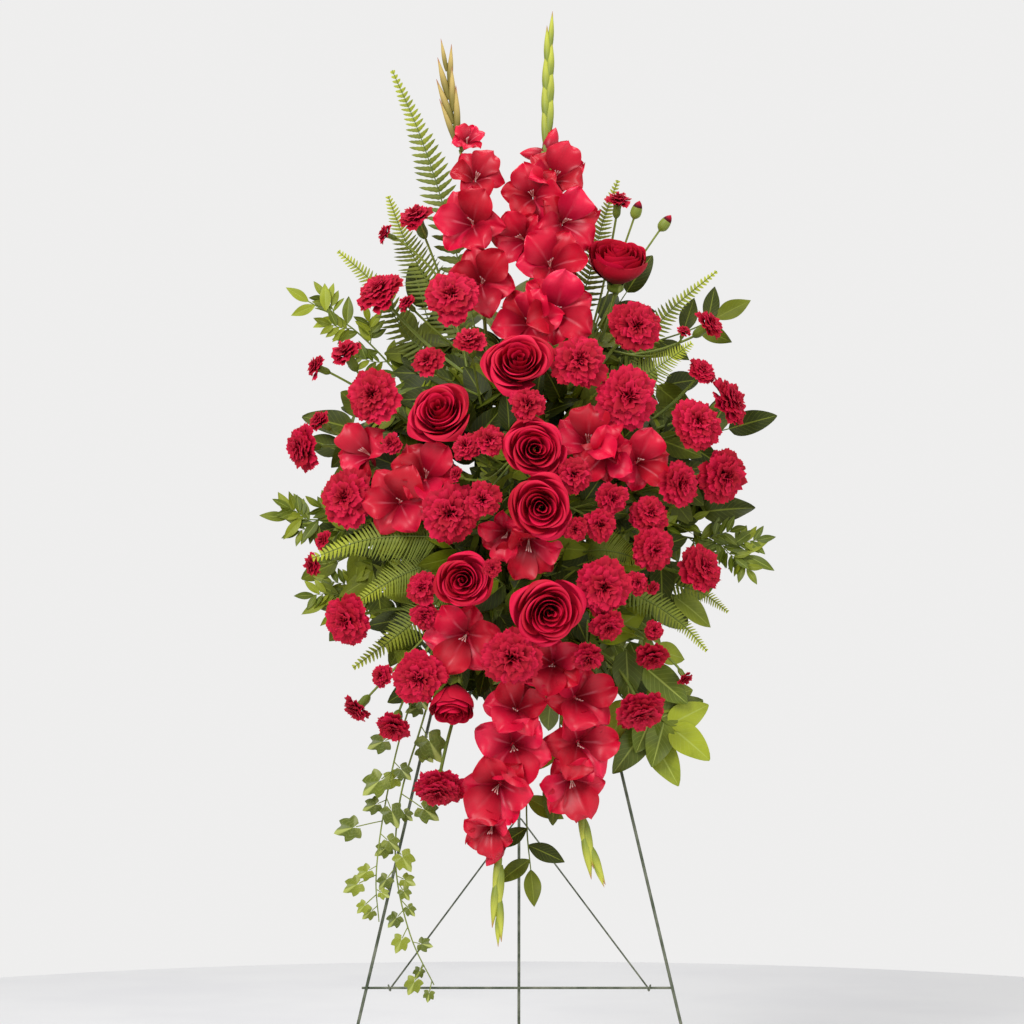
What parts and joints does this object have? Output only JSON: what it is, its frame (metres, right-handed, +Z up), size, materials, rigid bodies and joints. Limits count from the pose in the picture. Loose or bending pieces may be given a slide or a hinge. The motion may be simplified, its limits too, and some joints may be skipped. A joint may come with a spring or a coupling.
{
  "type": "standing funeral arrangement",
  "caption": "Red funeral spray of gladioli, roses and carnations with fern, leaves and ivy, set in wet foam on a folding green wire tripod easel that stands on the floor.",
  "frame": {"origin": "on the floor, under the middle of the whole arrangement's bounding box", "axes": "+Z up, -Y to the front where the flowers face, +X to the right seen from the front"},
  "size_m": [0.6376, 0.5488, 1.3661],
  "materials": {
    "easel_paint": "satin",
    "tray_plastic": "matte",
    "wet_foam": "matte",
    "rose_petals": "matte",
    "carnation_petals": "matte",
    "gladiolus_petals": "satin",
    "bud_sheaths": "satin",
    "fern_green": "matte",
    "leaf_green": "satin"
  },
  "bodies": {
    "stand": {"easel_front_legs": "easel_paint", "easel_crossbar": "easel_paint", "easel_middle_bar": "easel_paint", "easel_hinge_bar": "easel_paint", "foam_tray": "tray_plastic", "foam_block": "wet_foam", "rose_top": "rose_petals", "rose_upper": "rose_petals", "rose_left": "rose_petals", "rose_middle": "rose_petals", "rose_heart": "rose_petals", "rose_lower_left": "rose_petals", "rose_lower_right": "rose_petals", "rose_hanging": "rose_petals", "carnations_upper_left": "carnation_petals", "carnations_upper_right": "carnation_petals", "carnations_left": "carnation_petals", "carnations_right": "carnation_petals", "carnations_right_low": "carnation_petals", "carnation_centre": "carnation_petals", "carnations_lower_right": "carnation_petals", "carnations_lower_left": "carnation_petals", "carnation_low_centre": "carnation_petals", "carnation_low_right": "carnation_petals", "carnation_low_left": "carnation_petals", "spray_top_left": "carnation_petals", "spray_upper_left": "carnation_petals", "spray_top_right": "carnation_petals", "spray_centre": "carnation_petals", "spray_heart_right": "carnation_petals", "spray_left": "carnation_petals", "spray_lower_left": "carnation_petals", "spray_lower_right": "carnation_petals", "spray_low_right": "carnation_petals", "gladiolus_top_left": "gladiolus_petals", "gladiolus_top_right": "gladiolus_petals", "gladiolus_bottom_left": "gladiolus_petals", "gladiolus_bottom_right": "gladiolus_petals", "gladiolus_left": "gladiolus_petals", "gladiolus_right": "gladiolus_petals", "gladiolus_centre": "gladiolus_petals", "gladiolus_lower_left": "gladiolus_petals", "gladiolus_top_left_tip": "bud_sheaths", "gladiolus_top_right_tip": "bud_sheaths", "gladiolus_bottom_left_tip": "bud_sheaths", "gladiolus_bottom_right_tip": "bud_sheaths", "fern_upper_left": "fern_green", "fern_upper_right": "fern_green", "fern_lower_left": "fern_green", "fern_lower_right": "fern_green", "trailing_branch": "leaf_green", "leaves_centre": "leaf_green", "leaves_lower_right": "leaf_green", "leaves_right": "leaf_green", "leaves_upper_right": "leaf_green", "leaves_upper_left": "leaf_green", "leaves_left": "leaf_green", "ivy": "leaf_green"},
    "back_leg": {"easel_back_leg": "easel_paint"},
    "brace": {"easel_brace": "easel_paint"}
  },
  "joints": [
    {"name": "leg_fold", "type": "hinge", "parent": "stand", "child": "back_leg", "pos_m": [0.00132, -0.01267, 0.8372], "axis": [1, 0, 0], "range_deg": [-28, 0]},
    {"name": "brace_fold", "type": "hinge", "parent": "stand", "child": "brace", "pos_m": [0.00132, -0.15492, 0.1652], "axis": [1, 0, 0], "range_deg": [0, 44.5]}
  ],
  "couplings": [
    {"joint": "brace_fold", "follows": "leg_fold", "ratio": -1.58}
  ]
}
